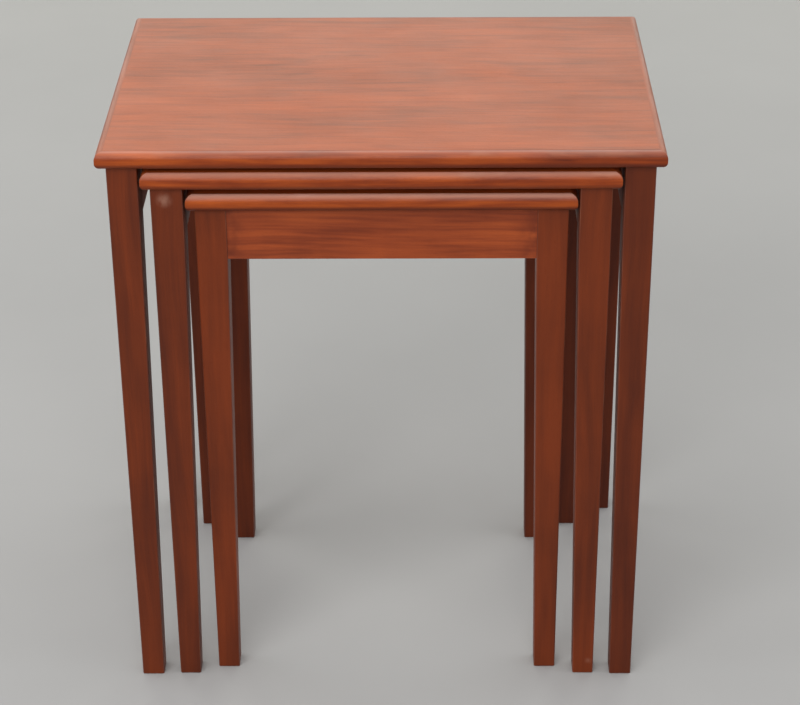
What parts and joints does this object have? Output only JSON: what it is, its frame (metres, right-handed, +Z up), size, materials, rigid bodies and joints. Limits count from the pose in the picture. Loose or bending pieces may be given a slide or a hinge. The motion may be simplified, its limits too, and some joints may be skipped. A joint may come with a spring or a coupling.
{
  "type": "nesting tables",
  "caption": "Nest of plain wooden occasional tables with tapered square legs and rounded top edges, each drawing out from under the next.",
  "frame": {"origin": "on the floor under the middle of the large table's top", "axes": "+Z up, -Y to the front where the inner tables draw out, +X to the right seen from the front"},
  "size_m": [0.56, 0.38, 0.634],
  "materials": {
    "top_veneer": "satin lacquered reddish brown veneer, grain across the width",
    "lipping": "satin lacquered reddish brown solid wood",
    "leg": "satin lacquered dark reddish brown solid wood, grain along the leg",
    "rail": "satin lacquered reddish brown solid wood, grain along the rail",
    "dowel": "bare beech",
    "screw": "zinc plated"
  },
  "bodies": {
    "large_table": {"large_back_rail": "rail", "large_leg_back_left": "leg", "large_leg_back_right": "leg", "large_leg_front_left": "leg", "large_leg_front_right": "leg", "large_rail_dowels": "dowel", "large_side_rail_left": "rail", "large_side_rail_right": "rail", "large_top_lipping_back": "lipping", "large_top_lipping_front": "lipping", "large_top_lipping_left": "lipping", "large_top_lipping_right": "lipping", "large_top_panel": "top_veneer", "large_top_screws": "screw"},
    "middle_table": {"middle_back_rail": "rail", "middle_leg_back_left": "leg", "middle_leg_back_right": "leg", "middle_leg_front_left": "leg", "middle_leg_front_right": "leg", "middle_rail_dowels": "dowel", "middle_side_rail_left": "rail", "middle_side_rail_right": "rail", "middle_top_lipping_back": "lipping", "middle_top_lipping_front": "lipping", "middle_top_lipping_left": "lipping", "middle_top_lipping_right": "lipping", "middle_top_panel": "top_veneer", "middle_top_screws": "screw"},
    "small_table": {"small_back_rail": "rail", "small_front_rail": "rail", "small_leg_back_left": "leg", "small_leg_back_right": "leg", "small_leg_front_left": "leg", "small_leg_front_right": "leg", "small_rail_dowels": "dowel", "small_side_rail_left": "rail", "small_side_rail_right": "rail", "small_top_lipping_back": "lipping", "small_top_lipping_front": "lipping", "small_top_lipping_left": "lipping", "small_top_lipping_right": "lipping", "small_top_panel": "top_veneer", "small_top_screws": "screw"}
  },
  "joints": [
    {"name": "middle_table_slide", "type": "slide", "parent": "large_table", "child": "middle_table", "axis": [0, -1, 0], "range_m": [-0.006, 0.36]},
    {"name": "small_table_slide", "type": "slide", "parent": "middle_table", "child": "small_table", "axis": [0, -1, 0], "range_m": [0, 0.32]}
  ]
}
